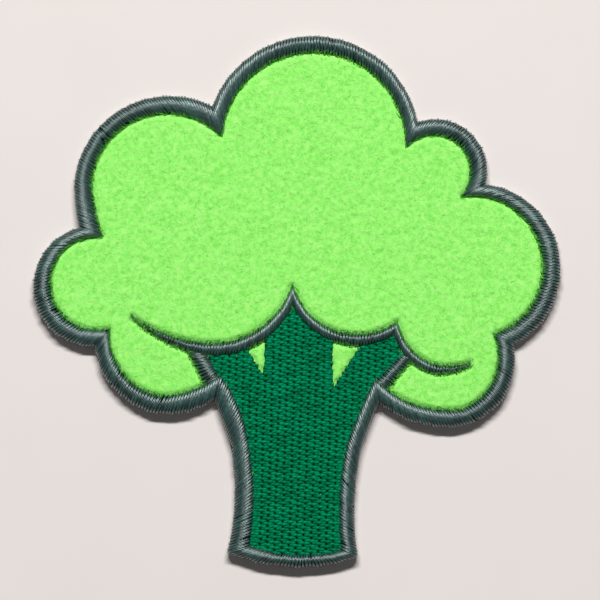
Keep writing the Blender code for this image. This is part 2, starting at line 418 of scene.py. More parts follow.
@dataclass(frozen=True)
class MattedFinish:
    """Felt or fleece: matted fibres in clumps, with painted shade between them and a painted highlight on their tops.
    """

    name: str
    painted_hollow_shade: tuple[float, float, float]
    body: tuple[float, float, float]
    painted_top_highlight: tuple[float, float, float]
    fibre_scale: float = 4200.0
    clump_scale: float = 1300.0
    depth: float = 0.12 * MM
    sheen: float = 0.25

    def build(self, groups: "Groups") -> bpy.types.Material:
        """Make the material from the shared groups."""
        material, g, shader = principled(self.name, 0.95, 0.2)
        shader.inputs["Sheen Weight"].default_value = self.sheen
        shader.inputs["Sheen Roughness"].default_value = 0.6
        place = g.node("ShaderNodeTexCoord").outputs["Object"]
        mottle = g.node("ShaderNodeGroup", node_tree=groups.fibre_mottle)
        mottle.inputs["Fibre"].default_value = self.fibre_scale
        mottle.inputs["Clump"].default_value = self.clump_scale
        g.join(place, mottle.inputs["Place"])
        # The colour follows the bump's height: painted shade in the low places, painted highlight on the high ones.
        ramp = g.node("ShaderNodeValToRGB")
        g.join(g.math("MULTIPLY", mottle.outputs["Height"], 0.5), ramp.inputs[0])
        stops = ramp.color_ramp.elements
        stops[0].position, stops[0].color = 0.36, (*self.painted_hollow_shade, 1.0)
        stops[1].position, stops[1].color = 0.66, (*self.painted_top_highlight, 1.0)
        middle = stops.new(0.5)
        middle.color = (*self.body, 1.0)
        g.join(ramp.outputs[0], shader.inputs["Base Color"])
        bump = g.node("ShaderNodeBump")
        bump.inputs["Distance"].default_value = self.depth
        bump.inputs["Strength"].default_value = 0.7
        g.join(mottle.outputs["Height"], bump.inputs["Height"])
        g.join(bump.outputs["Normal"], shader.inputs["Normal"])
        return material


@dataclass(frozen=True)
class FilmFinish:
    """A milky clear film with a soft gloss, which shows the stitching that it covers."""

    name: str = "heat_seal_film"
    colour: tuple[float, float, float] = (0.80, 0.82, 0.80)
    alpha: float = 0.16

    def build(self, groups: "Groups") -> bpy.types.Material:
        """Make the material from the shared groups."""
        material, g, shader = principled(self.name, 0.22)
        place = g.node("ShaderNodeTexCoord").outputs["Object"]
        mottle = g.node("ShaderNodeGroup", node_tree=groups.fibre_mottle)
        mottle.inputs["Fibre"].default_value = 900.0
        mottle.inputs["Clump"].default_value = 250.0
        g.join(place, mottle.inputs["Place"])
        shader.inputs["Base Color"].default_value = (*self.colour, 1.0)
        g.join(g.math("MULTIPLY_ADD", mottle.outputs["Broad"], 0.25, self.alpha - 0.12), shader.inputs["Alpha"])
        bump = g.node("ShaderNodeBump")
        bump.inputs["Distance"].default_value = 0.05 * MM
        bump.inputs["Strength"].default_value = 0.5
        g.join(mottle.outputs["Height"], bump.inputs["Height"])
        g.join(bump.outputs["Normal"], shader.inputs["Normal"])
        return material


@dataclass(frozen=True)
class FloorFinish:
    """A plain warm white surface with the faintest unevenness."""

    name: str = "floor"
    low: tuple[float, float, float] = (0.81, 0.765, 0.745)
    high: tuple[float, float, float] = (0.84, 0.795, 0.775)

    def build(self) -> bpy.types.Material:
        """Make the material."""
        material, g, shader = principled(self.name, 0.9, 0.1)
        place = g.node("ShaderNodeTexCoord").outputs["Object"]
        g.join(g.mix(g.noise(place, 60.0), (*self.low, 1.0), (*self.high, 1.0)), shader.inputs["Base Color"])
        return material


@dataclass
class Groups:
    """The shader groups that the finishes share."""

    ply_twist: bpy.types.NodeTree = field(default_factory=ply_twist_group)
    fibre_mottle: bpy.types.NodeTree = field(default_factory=fibre_mottle_group)


# ---------------------------------------------------------------- strands


def add_piece(name: str, mesh: bpy.types.Mesh, material: bpy.types.Material) -> bpy.types.Object:
    """Put a finished mesh in the scene, riding on the patch.

    Args:
        name: the piece's name.
        mesh: its mesh, in place.
        material: its material.

    Returns:
        The piece.
    """
    mesh.materials.clear()
    mesh.materials.append(material)
    piece = bpy.data.objects.new(name, mesh)
    bpy.context.scene.collection.objects.link(piece)
    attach(piece, BODY)
    log.info("%s: %d faces", name, len(mesh.polygons))
    return piece


@dataclass
class Strands:
    """A bundle of like strands of thread or fibre, each a thin tube along its own path."""

    name: str
    sides: int
    stations: int
    flatness: float = 1.0
    paths: list[Points] = field(default_factory=list)
    across: list[Points] = field(default_factory=list)
    radii: list[Points] = field(default_factory=list)
    tones: list[float] = field(default_factory=list)

    def add(self, path: Points, across: Points, radius: Points, tone: float) -> None:
        """Add one strand.

        Args:
            path: its centre line, a row for each station.
            across: the unit direction square to the plane that it bends in.
            radius: its radius at each station.
            tone: its tone from 0, dark, to 1, light.
        """
        self.paths.append(path)
        self.across.append(across)
        self.radii.append(radius)
        self.tones.append(tone)

    def template(self) -> bpy.types.Mesh:
        """One straight strand of radius 1 along Z, with a station at each whole height."""
        shape = bmesh.new()
        bmesh.ops.create_cone(
            shape, cap_ends=True, segments=self.sides, radius1=1.0, radius2=1.0, depth=self.stations - 1
        )
        long_edges = [edge for edge in shape.edges if abs(edge.verts[0].co.z - edge.verts[1].co.z) > 0.5]
        bmesh.ops.subdivide_edges(shape, edges=long_edges, cuts=self.stations - 2)
        bmesh.ops.translate(shape, verts=shape.verts, vec=(0.0, 0.0, (self.stations - 1) / 2))
        mesh = bpy.data.meshes.new(f"{self.name}_template")
        shape.to_mesh(mesh)
        shape.free()
        return mesh

    def repeated(self, template: bpy.types.Mesh) -> bpy.types.Mesh:
        """As many copies of the template as there are strands, one after another, by doubling."""
        mesh = bpy.data.meshes.new(self.name)
        whole = bmesh.new()
        block = bmesh.new()
        block.from_mesh(template)
        spare = bpy.data.meshes.new(f"{self.name}_block")
        left = len(self.paths)
        while left:
            block.to_mesh(spare)
            if left & 1:
                whole.from_mesh(spare)
            left >>= 1
            block.from_mesh(spare)
        whole.to_mesh(mesh)
        whole.free()
        block.free()
        bpy.data.meshes.remove(spare)
        return mesh

    def build(self, material: bpy.types.Material, slot: str) -> bpy.types.Object:
        """Bend the copies along their paths and make the piece.

        Args:
            material: the strands' material.
            slot: a material slot's name; not used.

        Returns:
            The piece.
        """
        template = self.template()
        round_it = np.array([vert.co for vert in template.vertices])
        mesh = self.repeated(template)
        bpy.data.meshes.remove(template)
        paths = np.array(self.paths)
        across = np.array(self.across)[:, None, :]
        radii = np.array(self.radii)[:, :, None]
        tangents = np.gradient(paths, axis=1)
        tangents /= np.maximum(np.linalg.norm(tangents, axis=2, keepdims=True), 1e-12)
        side = across - tangents * np.sum(across * tangents, axis=2, keepdims=True)
        side /= np.linalg.norm(side, axis=2, keepdims=True)
        up = np.cross(tangents, side)
        steps = np.linalg.norm(np.diff(paths, axis=1), axis=2)
        reach = np.concatenate([np.zeros((len(paths), 1)), np.cumsum(steps, axis=1)], axis=1)
        station = np.rint(round_it[:, 2]).astype(int)
        wide = side[:, station] * round_it[None, :, 0:1]
        high = up[:, station] * round_it[None, :, 1:2] * self.flatness
        place = paths[:, station] + (wide + high) * radii[:, station]
        mesh.vertices.foreach_set("co", place.astype(np.float32).ravel())
        ply = np.empty(place.shape, np.float32)
        ply[:, :, 0:2] = round_it[None, :, 0:2]
        ply[:, :, 2] = reach[:, station] + np.array(self.tones)[:, None] * MM
        mesh.attributes.new("ply", "FLOAT_VECTOR", "POINT").data.foreach_set("vector", ply.ravel())
        tone = np.repeat(np.array(self.tones, np.float32), len(round_it))
        mesh.attributes.new("tone", "FLOAT", "POINT").data.foreach_set("value", tone)
        mesh.shade_smooth()
        mesh.update()
        return add_piece(self.name, mesh, material)


# ---------------------------------------------------------------- satin columns


class ColumnKind(Enum):
    """Where a satin column lies."""

    EDGE = "edge"
    LINE = "line"
    BRANCH = "branch"



# How a pass crosses its column: its share of the width from the inner side, and of the rise over the toe.
EDGE_PASS = (
    (0.0, -0.3), (0.04, 0.36), (0.17, 0.74), (0.36, 0.95), (0.55, 1.0), (0.76, 0.86), (0.92, 0.46),
    (1.0, -0.2), (0.985, -1.06),
)
LINE_PASS = (
    (0.0, -0.3), (0.06, 0.38), (0.18, 0.74), (0.34, 0.94), (0.5, 1.0), (0.66, 0.94), (0.82, 0.74),
    (0.94, 0.38), (1.0, -0.3),
)


def ripple(count: int, length: float, rng: np.random.Generator) -> Points:
    """A smooth random wave from -1 to 1.

    Args:
        count: how many values.
        length: how many values there are to a bump of the wave.
        rng: the source of its draws.

    Returns:
        The wave's values.
    """
    knots = rng.uniform(-1.0, 1.0, max(int(count / length) + 3, 4))
    return np.interp(np.linspace(0, len(knots) - 1, count), np.arange(len(knots)), knots)


@dataclass
class SatinColumn:
    """One satin column: passes of thread laid side by side over its padding, and its underside."""

    node: str
    kind: ColumnKind
    toe: float
    seed: int
    pitch: float = 0.225 * MM
    radius: float = 0.108 * MM
    lean: float = 0.3
    full_width: float = 1.7 * MM
    foot_share: float = 0.97
    ragged: float = 0.17 * MM
    tuck: float = 1.1 * MM
    tip_reach: float = 0.2 * MM
    bobbin_pitch: float = 0.4 * MM
    inner: Points = field(init=False)
    outer: Points = field(init=False)
    rise: float = field(init=False)

    def __post_init__(self) -> None:
        """Read the column's two sides and its rise from its CAD solid."""
        shape = welded(self.node)
        heights = sorted({round(vert.co.z, 6) for vert in shape.verts})
        slack = 0.004 * MM
        second = heights[0] if self.kind is ColumnKind.EDGE else heights[1]
        self.inner = level_line(shape, self.toe, slack)
        self.outer = level_line(shape, second, slack)
        self.rise = heights[-1] - self.toe
        shape.free()
        ends = (self.outer[0], self.outer[-1])
        if np.linalg.norm(self.inner[0] - ends[0]) > np.linalg.norm(self.inner[0] - ends[1]):
            self.outer = self.outer[::-1]
        if self.kind is ColumnKind.EDGE:
            self.outer = self.inner + (self.outer - self.inner) / self.foot_share
        if self.kind is not ColumnKind.EDGE:
            reach = self.tuck if self.kind is ColumnKind.BRANCH else self.tip_reach
            self.inner, self.outer = stretched(self.inner, reach), stretched(self.outer, reach)

    def place(self) -> str:
        """The column's name without its kind, which its bobbin node has too."""
        return self.node.removeprefix("edge_")

    def length(self) -> float:
        """The length along the middle of the column."""
        middle = (self.inner + self.outer) / 2
        return float(np.linalg.norm(np.diff(middle, axis=0), axis=1).sum())

    def rungs(self, count: int, lean: float) -> tuple[Points, Points]:
        """Where passes start and end, leaning by turns to one side and the other.

        Args:
            count: how many passes.
            lean: how far an end moves along the column, in passes.

        Returns:
            The inner and the outer ends, as rows of x, y.
        """
        step = np.arange(count)
        side = np.where(step % 2, -1.0, 1.0)
        middle = (self.inner + self.outer) / 2
        near = smooth_line(self.inner, middle, np.clip((step + 0.5 + lean * side) / count, 0, 1))
        far = smooth_line(self.outer, middle, np.clip((step + 0.5 - lean * side) / count, 0, 1))
        return near, far

    def ground(self) -> Points:
        """Points all over the column's footprint, for other pieces to keep clear of."""
        near, far = self.rungs(int(self.length() / (0.3 * MM)), 0.0)
        return np.concatenate([near + (far - near) * share for share in (0.0, 0.25, 0.5, 0.75, 1.0)])

    def build_passes(self, material: bpy.types.Material) -> bpy.types.Object:
        """Lay the passes of the top thread.

        Args:
            material: the edge thread.

        Returns:
            The piece.
        """
        rng = np.random.default_rng(self.seed)
        count = max(int(self.length() / self.pitch), 8)
        near, far = self.rungs(count, self.lean)
        step = np.arange(count)
        width = np.linalg.norm(far - near, axis=1)
        cross = (far - near) / width[:, None]
        pairs = rng.uniform(-1.0, 1.0, count + 2)
        out = self.ragged * (0.55 * ripple(count, 5.0, rng) + 0.65 * pairs[(step + 1) // 2])
        back = self.ragged * 0.6 * rng.uniform(-1.0, 1.0, count + 2)[step // 2]
        if self.kind is not ColumnKind.EDGE:
            out *= 0.6
        shares, lifts = np.array(EDGE_PASS if self.kind is ColumnKind.EDGE else LINE_PASS).T
        rise = self.rise * np.minimum(1.0, width / self.full_width)
        if self.kind is ColumnKind.BRANCH:
            rise *= np.interp(np.minimum(step, step[::-1]) * self.pitch, (0, self.tuck), (0.35, 1.0))
        lift = 0.055 * MM * (ripple(count, 6.0, rng) + rng.uniform(-1.0, 1.0, count))
        path = np.empty((count, len(shares), 3))
        reach = shares[None, :] * (width + out + back)[:, None] - back[:, None]
        path[:, :, :2] = near[:, None, :] + cross[:, None, :] * reach[:, :, None]
        path[:, :, 2] = self.toe + rise[:, None] * lifts + lift[:, None] * (lifts > 0)
        if self.kind is ColumnKind.EDGE:
            path[:, -1, 2] = self.toe + self.rise * lifts[-1]
        along = np.stack([-cross[:, 1], cross[:, 0], np.zeros(count)], axis=1)
        tones = np.clip(0.5 + 0.12 * ripple(count, 9.0, rng) + 0.34 * rng.uniform(-1, 1, count), 0, 1)
        gauge = self.radius * rng.uniform(0.9, 1.1, count) * np.clip(width / self.full_width, 0.7, 1.0)
        strands = Strands(f"{self.node}_passes", 6, len(shares))
        for i in range(count):
            strands.add(path[i], along[i], np.full(len(shares), gauge[i]), tones[i])
        return strands.build(material, "edge_thread")

    def build_underside(self, thread: bpy.types.Material, bobbin: bpy.types.Material) -> list[bpy.types.Object]:
        """Lay the stitches of the back: top thread at both sides, held by a band of bobbin thread.

        Args:
            thread: the edge thread.
            bobbin: the bobbin thread.

        Returns:
            The pieces.
        """
        rng = np.random.default_rng(self.seed + 500)
        low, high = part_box(f"bobbin_{self.place()}")
        count = max(int(self.length() / self.bobbin_pitch), 4)
        near, far = self.rungs(count, self.lean)
        cross = far - near
        unit = cross / np.linalg.norm(cross, axis=1, keepdims=True)
        along = np.stack([-unit[:, 1], unit[:, 0], np.zeros(count)], axis=1)
        middle = (low[2] + high[2]) / 2
        white = Strands(f"bobbin_{self.place()}_passes", 6, 5, flatness=0.5)
        green = Strands(f"underside_{self.place()}", 6, 5, flatness=0.5)
        for i in range(count):
            start, end = 0.31 + rng.uniform(-0.07, 0.07), 0.69 + rng.uniform(-0.07, 0.07)
            tone = rng.uniform(0, 1)
            for strands, first, last in ((white, start, end), (green, 0.03, start), (green, end, 0.95)):
                shares = np.linspace(first, last, 5)
                path = np.empty((5, 3))
                path[:, :2] = near[i] + cross[i] * shares[:, None]
                path[:, 2] = middle + np.array([0.05, 0.0, -0.02, 0.0, 0.05]) * MM
                strands.add(path, along[i], np.full(5, 0.17 * MM), tone)
        pieces = [white.build(bobbin, "bobbin_thread"), green.build(thread, "edge_thread")]
        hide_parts(f"bobbin_{self.place()}")
        return pieces


# ---------------------------------------------------------------- stem fill


@dataclass
class StemFill:
    """The stem's fill: rows of long stitches, each row set off by half a stitch from the last."""

    node: str = "stem_fill"
    row_pitch: float = 0.385 * MM
    stitch: float = 2.14 * MM
    slope: float = -0.0328
    width: float = 0.27 * MM
    flatness: float = 0.24
    cant: float = 0.075 * MM
    hole: float = 0.045 * MM
    tuck: float = 0.55 * MM
    shortest: float = 0.6 * MM
    ragged: float = 0.12 * MM
    near: float = 0.6 * MM
    opening_reach: float = 1.12
    underlay_pitch: float = 0.36 * MM
    underlay_inset: float = 0.12 * MM
    columns: list[SatinColumn] = field(default_factory=list)
    outline: Points = field(init=False)

    def __post_init__(self) -> None:
        """Read the fill's outline from its CAD solid."""
        self.outline = sheet_outline(self.node)

    def openings(self) -> list[Points]:
        """The corners of each opening in the fill, carried on up under the column over it."""
        found = []
        for number in np.flatnonzero(self.gaps() > self.near):
            corners = np.take(self.outline, (number - 1, number, number + 1), axis=0, mode="wrap")
            tip = corners[1]
            found.append(tip + (corners - tip) * self.opening_reach)
        return found

    def gaps(self) -> Points:
        """How far each corner of the outline is from the nearest satin column."""
        ground = np.concatenate([column.ground() for column in self.columns])
        return np.linalg.norm(self.outline[:, None, :] - ground[None, :, :], axis=2).min(axis=1)

    def rows(self, turn: Points, pitch: float, tuck: float) -> list[tuple[int, float, float, float]]:
        """Each stretch of each row: its number, its offset, and where it starts and ends.

        Args:
            turn: the matrix that turns patch directions to those along and across the rows.
            pitch: the distance between rows.
            tuck: how far the rows run on under the satin columns.

        Returns:
            The stretches.
        """
        whole = self.outline[self.gaps() <= self.near]
        loop = grown(whole, tuck) @ turn
        openings = [corners @ turn for corners in self.openings()]
        found = []
        low, high = loop[:, 1].min(), loop[:, 1].max()
        for number in range(int((high - low) / pitch)):
            v = low + (number + 0.5) * pitch
            ends = crossings(loop, v)
            gaps = [crossings(corners, v) for corners in openings]
            cuts = sorted(end for gap in gaps for end in gap if len(gap) == 2)
            for start, end in zip(ends[::2], ends[1::2]):
                stops = [start, *[cut for cut in cuts if start < cut < end], end]
                if len(stops) % 2:
                    stops.pop()
                for first, last in zip(stops[::2], stops[1::2]):
                    if last - first > self.shortest:
                        found.append((number, v, first, last))
        return found

    def turn(self, quarter: bool = False) -> Points:
        """The matrix that turns patch directions, as rows, to directions along and across the rows."""
        size = math.hypot(1.0, self.slope)
        along = np.array([1.0, self.slope]) / size
        across = np.array([-self.slope, 1.0]) / size
        return np.stack([across, -along] if quarter else [along, across], axis=1)

    def stitches(self, rng: np.random.Generator) -> list[tuple[Points, Points]]:
        """The start and end of each stitch, in patch directions.

        Args:
            rng: the source of its draws.

        Returns:
            Pairs of points.
        """
        turn = self.turn()
        found = []
        for number, v, start, end in self.rows(turn, self.row_pitch, self.tuck):
            offset = self.stitch / 2 * (number % 2)
            first = math.ceil((start + self.shortest - offset) / self.stitch) * self.stitch + offset
            inner = np.arange(first, end - self.shortest, self.stitch)
            inner = inner + rng.normal(0.0, 0.05 * MM, len(inner))
            ends = np.concatenate([[start + rng.normal(0, self.ragged)], inner, [end + rng.normal(0, self.ragged)]])
            level = v + rng.normal(0.0, 0.02 * MM, len(ends))
            starts = np.stack([ends, level + self.cant], axis=1) @ turn.T
            stops = np.stack([ends, level - self.cant], axis=1) @ turn.T
            found.extend(zip(starts[:-1], stops[1:]))
        return found

    def build_face(self, material: bpy.types.Material) -> bpy.types.Object:
        """Lay the stitches of the face.

        Args:
            material: the stem thread.

        Returns:
            The piece.
        """
        rng = np.random.default_rng(SEED + 1)
        low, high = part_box(self.node)
        shares = np.array([0.0, 0.045, 0.1, 0.24, 0.5, 0.76, 0.9, 0.955, 1.0])
        arch = np.array([-0.3, 0.6, 0.9, 0.98, 1.0, 0.98, 0.9, 0.6, -0.3])
        swell = np.array([0.45, 0.74, 0.95, 1.0, 1.0, 1.0, 0.95, 0.74, 0.45])
        strands = Strands("stem_fill_stitches", 6, len(shares), flatness=self.flatness)
        for start, end in self.stitches(rng):
            path = np.empty((len(shares), 3))
            run = (end - start) / np.linalg.norm(end - start)
            start, end = start + run * self.hole, end - run * self.hole
            path[:, :2] = start + (end - start) * shares[:, None]
            path[:, 2] = low[2] + arch * (high[2] - low[2] - self.width * self.flatness)
            path[:, 2] += rng.normal(0.0, 0.02 * MM)
            strands.add(path, np.array([-run[1], run[0], 0.0]), self.width * swell, rng.uniform(0, 1))
        piece = strands.build(material, "stem_thread")
        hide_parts(self.node)
        return piece

    def build_underlay(self, material: bpy.types.Material) -> bpy.types.Object:
        """Lay the bed of underlay thread, square to the rows, that shows in the needle holes. Its dark green is
        painted shade for the holes.

        Args:
            material: the stem thread, darkened as painted shade.

        Returns:
            The piece.
        """
        low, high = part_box(self.node)
        turn = self.turn(quarter=True)
        strands = Strands("stem_fill_underlay", 6, 5, flatness=0.35)
        for number, v, start, end in self.rows(turn, self.underlay_pitch, self.tuck * 0.7):
            across = np.linspace(start + self.underlay_inset, end - self.underlay_inset, 5)
            path = np.empty((5, 3))
            path[:, :2] = np.stack([across, np.full(5, v)], axis=1) @ turn.T
            path[:, 2] = low[2] + 0.03 * MM
            strands.add(path, np.array([*turn[:, 1], 0.0]), np.full(5, self.underlay_pitch * 0.62), 0.5)
        return strands.build(material, "stem_thread")

    def build_underside(self, thread: bpy.types.Material, bobbin: bpy.types.Material) -> list[bpy.types.Object]:
        """Lay the stitches of the back, the white bobbin thread drawn between dips of the top thread.

        Args:
            thread: the stem thread.
            bobbin: the bobbin thread.

        Returns:
            The pieces.
        """
        rng = np.random.default_rng(SEED + 2)
        low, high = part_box("bobbin_stem_fill")
        middle = (low[2] + high[2]) / 2
        white = Strands("bobbin_stem_fill_stitches", 6, 5, flatness=0.5)
        green = Strands("underside_stem_fill", 6, 5, flatness=0.5)
        for start, end in self.stitches(rng):
            run = (end - start) / np.linalg.norm(end - start)
            side = np.array([-run[1], run[0], 0.0])
            for strands, first, last in ((white, 0.14, 0.86), (green, -0.08, 0.12)):
                path = np.empty((5, 3))
                path[:, :2] = start + (end - start) * np.linspace(first, last, 5)[:, None]
                path[:, 2] = middle + np.array([0.06, 0.0, -0.02, 0.0, 0.06]) * MM
                strands.add(path, side, np.full(5, 0.16 * MM), rng.uniform(0, 1))
        pieces = [white.build(bobbin, "bobbin_thread"), green.build(thread, "stem_thread")]
        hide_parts("bobbin_stem_fill")
        return pieces


# ---------------------------------------------------------------- cloth


@dataclass
class Cloth:
    """A flat sheet of matted cloth, cut to an outline and pressed down where stitching holds it."""

    node: str
    step: float
    puff: float
    lump: float
    held: kdtree.KDTree
    fill: Points
    press_start: float = 0.12 * MM
    press_reach: float = 0.45 * MM
    outline: Points = field(init=False)

    def __post_init__(self) -> None:
        """Read the sheet's outline from its CAD solid."""
        self.outline = sheet_outline(self.node)

    def area(self) -> float:
        """The area inside the outline."""
        x, y = self.outline.T
        return float(abs(np.dot(x, np.roll(y, -1)) - np.dot(y, np.roll(x, -1))) / 2)

    def size(self) -> tuple[float, float]:
        """The width and length of the blank that the sheet is cut from."""
        low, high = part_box(self.node)
        return high[0] - low[0], high[1] - low[1]

    def freedom(self, x: float, y: float) -> float:
        """How free the cloth is of stitching at a place, from 0, held down, to 1, loose."""
        distance = self.held.find((x, y, 0.0))[2]
        t = min(max((distance - self.press_start) / self.press_reach, 0.0), 1.0)
        return t * t * (3 - 2 * t)

    def surface(self, x: float, y: float) -> float:
        """The height of the cloth's face over the CAD sheet's at a place."""
        at = Vector((x, y, 0.0)) / MM
        lumps = 0.6 * noise.noise(at * 1.1) + 0.4 * noise.noise(at * 2.6)
        return self.freedom(x, y) * (self.puff + self.lump * lumps)

    def sheet_mesh(self, name: str) -> bpy.types.Mesh:
        """Cut the sheet from a fine grid and raise its face.

        Args:
            name: the mesh's name.

        Returns:
            The closed mesh.
        """
        low, high = (np.array(corner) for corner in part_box(self.node))
        half = (high[:2] - low[:2]) / 2
        centre = (high + low) / 2
        cells = (2 * half / self.step).astype(int) + 2
        shape = bmesh.new()
        bmesh.ops.create_grid(shape, x_segments=int(cells[0]), y_segments=int(cells[1]), size=1.0)
        bmesh.ops.scale(shape, verts=shape.verts, vec=(half[0], half[1], 1.0))
        bmesh.ops.translate(shape, verts=shape.verts, vec=(centre[0], centre[1], low[2]))
        centres = np.array([face.calc_center_median()[:2] for face in shape.faces])
        kept = inside(centres, self.outline)
        waste = [face for face, keep in zip(shape.faces, kept) if not keep]
        bmesh.ops.delete(shape, geom=waste, context="FACES")
        self.trim(shape)
        raised = bmesh.ops.extrude_face_region(shape, geom=shape.faces[:])
        tops = [item for item in raised["geom"] if isinstance(item, bmesh.types.BMVert)]
        for vert in tops:
            vert.co.z = high[2] + self.surface(vert.co.x, vert.co.y)
        bmesh.ops.recalc_face_normals(shape, faces=shape.faces)
        mesh = bpy.data.meshes.new(name)
        shape.to_mesh(mesh)
        shape.free()
        mesh.shade_smooth()
        mesh.set_sharp_from_angle(angle=math.radians(50))
        return mesh

    def trim(self, shape: bmesh.types.BMesh) -> None:
        """Move the grid's stepped border onto the outline."""
        start = self.outline
        run = np.roll(start, -1, axis=0) - start
        size = (run**2).sum(axis=1)
        for vert in [vert for vert in shape.verts if vert.is_boundary]:
            point = np.array(vert.co[:2])
            share = np.clip(((point - start) * run).sum(axis=1) / size, 0, 1)
            nearest = start + run * share[:, None]
            pick = ((nearest - point) ** 2).sum(axis=1).argmin()
            vert.co.xy = nearest[pick]


@dataclass
class Felt(Cloth):
    """The felt ground, with the loose fibres of its nap."""

    fibres: int = 9500
    fibre_radius: float = 0.022 * MM
    fringe_pitch: float = 0.115 * MM

    def build(self, material: bpy.types.Material, nap: bpy.types.Material) -> list[bpy.types.Object]:
        """Make the sheet and its nap.

        Args:
            material: the felt.
            nap: its loose fibres.

        Returns:
            The pieces.
        """
        sheet = add_piece("felt_sheet", self.sheet_mesh("felt_sheet"), material)
        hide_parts(self.node)
        return [sheet, self.build_nap(nap)]

    def build_nap(self, material: bpy.types.Material) -> bpy.types.Object:
        """Scatter curled fibres over the face.

        Args:
            material: the fibres' material.

        Returns:
            The piece.
        """
        rng = np.random.default_rng(SEED + 3)
        low, high = (np.array(corner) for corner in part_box(self.node))
        stations = 4
        strands = Strands("felt_nap", 3, stations)
        spots = rng.uniform(low[:2], high[:2], (self.fibres * 3, 2))
        spots = spots[inside(spots, self.outline) & ~inside(spots, self.fill)]
        for x, y in spots:
            if len(strands.paths) == self.fibres:
                break
            if self.held.find((x, y, 0.0))[2] < 0.25 * MM:
                continue
            heading, curl = rng.uniform(0, 2 * math.pi), rng.normal(0.0, 1.1)
            reach = rng.uniform(0.3, 1.0) * MM / (stations - 1)
            path = np.empty((stations, 3))
            px, py = x, y
            for i in range(stations):
                lift = math.sin(math.pi * i / (stations - 1)) * rng.uniform(0.0, 0.022) * MM
                path[i] = px, py, high[2] + self.surface(px, py) + lift
                px += reach * math.cos(heading)
                py += reach * math.sin(heading)
                heading += curl * 0.4
            radius = self.fibre_radius * np.array([0.5, 1.0, 1.0, 0.4])
            strands.add(path, np.array([0.0, 0.0, 1.0]), radius, rng.uniform(0, 1))
        return strands.build(material, "felt")


    def build_fringe(self, columns: list[SatinColumn], material: bpy.types.Material) -> bpy.types.Object:
        """Let the felt's fibres crowd up where the satin columns bite into it. Their dark greens are painted shade
        along the columns.

        Args:
            columns: the satin columns.
            material: the fibres' material.

        Returns:
            The piece.
        """
        rng = np.random.default_rng(SEED + 5)
        low, high = (np.array(corner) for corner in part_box(self.node))
        strands = Strands("felt_fringe_painted_shade", 3, 5)
        for column in columns:
            near, far = column.rungs(int(column.length() / self.fringe_pitch), 0.0)
            cross = (far - near) / np.linalg.norm(far - near, axis=1, keepdims=True)
            sides = [(near, cross)]
            if column.kind is not ColumnKind.EDGE:
                sides.append((far, -cross))
            for tips, ways in sides:
                for tip, way in zip(tips, ways):
                    root = tip - way * rng.uniform(0.15, 0.5) * MM
                    if inside(root[None, :], self.fill)[0]:
                        continue
                    slew = rng.normal(0.0, 0.45)
                    run = np.array([way[0] - way[1] * slew, way[1] + way[0] * slew])
                    run *= rng.uniform(0.4, 1.05) * MM
                    path = np.empty((5, 3))
                    path[:, :2] = root + run * np.linspace(0, 1, 5)[:, None]
                    climb = rng.uniform(0.25, 0.75) * MM
                    path[:, 2] = high[2] + self.surface(*root) * 0.6 + climb * np.array([0, 0.4, 0.7, 0.9, 1.0])
                    radius = rng.uniform(0.03, 0.065) * MM * np.array([1.0, 1.0, 0.85, 0.6, 0.3])
                    strands.add(path, np.array([-way[1], way[0], 0.0]), radius, rng.uniform(0, 1))
        return strands.build(material, "felt")


@dataclass
class Stabiliser(Cloth):
    """The stiff fleece that the patch is sewn on, cut close outside the edge."""

    def build(self, material: bpy.types.Material) -> bpy.types.Object:
        """Make the sheet.

        Args:
            material: the fleece.

        Returns:
            The piece.
        """
        sheet = add_piece("stabiliser_sheet", self.sheet_mesh("stabiliser_sheet"), material)
        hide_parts(self.node)
        return sheet

    def build_fray(self, columns: list[SatinColumn], material: bpy.types.Material) -> bpy.types.Object:
        """Let short ends of fibre stand out of the cut edge.

        Args:
            columns: the satin columns of the edge.
            material: the fleece.

        Returns:
            The piece.
        """
        rng = np.random.default_rng(SEED + 4)
        low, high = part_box(self.node)
        strands = Strands("stabiliser_fray", 3, 4)
        for column in columns:
            count = int(column.length() / (0.45 * MM))
            near, far = column.rungs(count, 0.0)
            cross = (far - near) / np.linalg.norm(far - near, axis=1, keepdims=True)
            for tip, out in zip(far, cross):
                slew = rng.normal(0.0, 0.9)
                run = np.array([out[0] - out[1] * slew, out[1] + out[0] * slew])
                run *= rng.uniform(0.12, 0.4) * MM / np.linalg.norm(run)
                path = np.empty((4, 3))
                path[:, :2] = tip - out * 0.1 * MM + run * np.linspace(0, 1, 4)[:, None]
                path[:, 2] = rng.uniform(low[2], high[2]) + np.array([0, 0.02, 0.05, 0.1]) * MM
                strands.add(path, np.array([0.0, 0.0, 1.0]), 0.03 * MM * np.array([1, 1, 0.8, 0.4]), 0.8)
        return strands.build(material, "stabiliser")


# ---------------------------------------------------------------- studio


